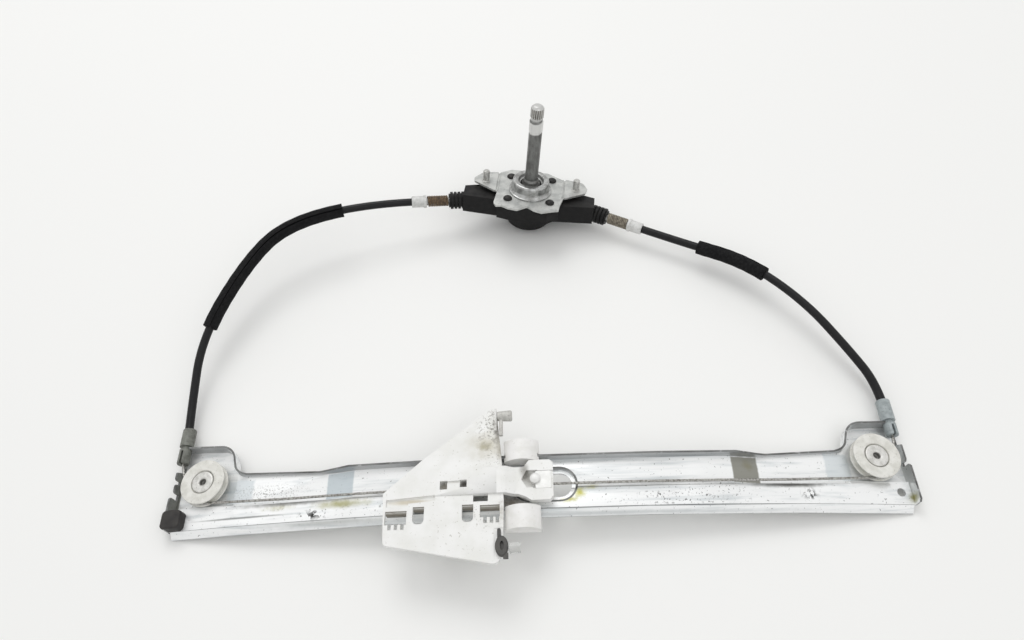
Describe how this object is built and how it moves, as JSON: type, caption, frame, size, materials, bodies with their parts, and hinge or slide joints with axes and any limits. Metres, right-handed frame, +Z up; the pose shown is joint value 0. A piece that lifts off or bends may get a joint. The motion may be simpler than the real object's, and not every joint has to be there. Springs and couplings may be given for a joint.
{
  "type": "window regulator",
  "caption": "Manual door window regulator: pressed rail with a cable-driven glass carrier, pulleys, conduits and a crank winder with a serrated spindle.",
  "frame": {"origin": "middle of the part's footprint, on the floor it lies on, conduits left out", "axes": "+X along the chord of the arched rail, the way the carrier travels; +Y from the rail to the winder; +Z up from the floor"},
  "size_m": [0.4415, 0.2948, 0.0945],
  "materials": {
    "zinc_plated_steel": "zinc plated pressed sheet, scuffed",
    "worn_steel": "bare steel, handled",
    "dark_steel": "oiled dark steel",
    "black_steel": "blackened steel",
    "greased_steel": "drawn steel with dark grease",
    "grey_phosphated_steel": "matt grey plated sheet",
    "rusty_spring_steel": "rusty spring wire",
    "greased_cable": "greased steel strand",
    "milky_nylon": "milky moulded nylon",
    "cream_acetal": "off-white moulded acetal",
    "grey_polyamide": "grey moulded polyamide",
    "black_polyamide": "black moulded polyamide",
    "black_conduit": "black extruded sheath",
    "black_foam": "black foam",
    "black_rubber": "moulded rubber",
    "clear_plastic": "clear plastic"
  },
  "bodies": {
    "base": {"rail": "zinc_plated_steel", "pulley_pin_left": "worn_steel", "pulley_pin_right": "worn_steel", "rubber_buffer": "black_rubber", "conduit_ferrule_left": "grey_polyamide", "conduit_ferrule_right": "grey_polyamide", "rail_cable": "greased_cable", "conduit_left": "black_conduit", "conduit_right": "black_conduit", "foam_sleeve_left": "black_foam", "foam_sleeve_right": "black_foam", "conduit_cap_left": "grey_polyamide", "conduit_cap_right": "grey_polyamide", "tension_spring_left": "rusty_spring_steel", "tension_spring_right": "rusty_spring_steel", "winder_cable_left": "greased_cable", "winder_cable_right": "greased_cable", "winder_housing": "black_polyamide", "cover_plate": "grey_phosphated_steel", "brake_cup": "greased_steel", "brake_spring": "rusty_spring_steel", "rivet_near_left": "black_steel", "rivet_near_right": "black_steel", "rivet_far_left": "black_steel", "rivet_far_right": "black_steel", "mounting_stud_left": "black_steel", "mounting_stud_right": "black_steel"},
    "carrier": {"glass_carrier": "milky_nylon", "guide_shoe_far": "cream_acetal", "guide_shoe_near": "cream_acetal", "clamp_nut": "zinc_plated_steel", "cable_nipple_left": "worn_steel", "cable_nipple_right": "worn_steel", "carrier_clip": "grey_polyamide", "carrier_grommet": "black_rubber", "spacer_stub": "clear_plastic"},
    "crank": {"crank_spindle": "dark_steel", "cable_drum": "black_polyamide", "drum_cable": "greased_cable"},
    "pulley_left": {"pulley_left": "cream_acetal"},
    "pulley_right": {"pulley_right": "cream_acetal"}
  },
  "joints": [
    {"name": "carrier_travel", "type": "hinge", "parent": "base", "child": "carrier", "pos_m": [0.00139, -0.08678, -1.39923], "axis": [0, 1, 0], "range_deg": [-3.42, 6.64]},
    {"name": "pulley_left_spin", "type": "hinge", "parent": "base", "child": "pulley_left", "pos_m": [-0.19811, -0.08633, 0.00972], "axis": [-0.1402, 0, 0.9901], "range_deg": [-425, 825]},
    {"name": "pulley_right_spin", "type": "hinge", "parent": "base", "child": "pulley_right", "pos_m": [0.20189, -0.08633, 0.00957], "axis": [0.1409, 0, 0.99], "range_deg": [-425, 825]},
    {"name": "crank_spin", "type": "hinge", "parent": "base", "child": "crank", "pos_m": [0.00639, 0.12262, 0.02865], "axis": [0.1219, 0.2148, 0.969], "range_deg": [-390, 755]}
  ],
  "couplings": [
    {"joint": "pulley_left_spin", "follows": "carrier_travel", "ratio": 116.64},
    {"joint": "pulley_right_spin", "follows": "carrier_travel", "ratio": 116.64},
    {"joint": "crank_spin", "follows": "carrier_travel", "ratio": 112.94}
  ]
}
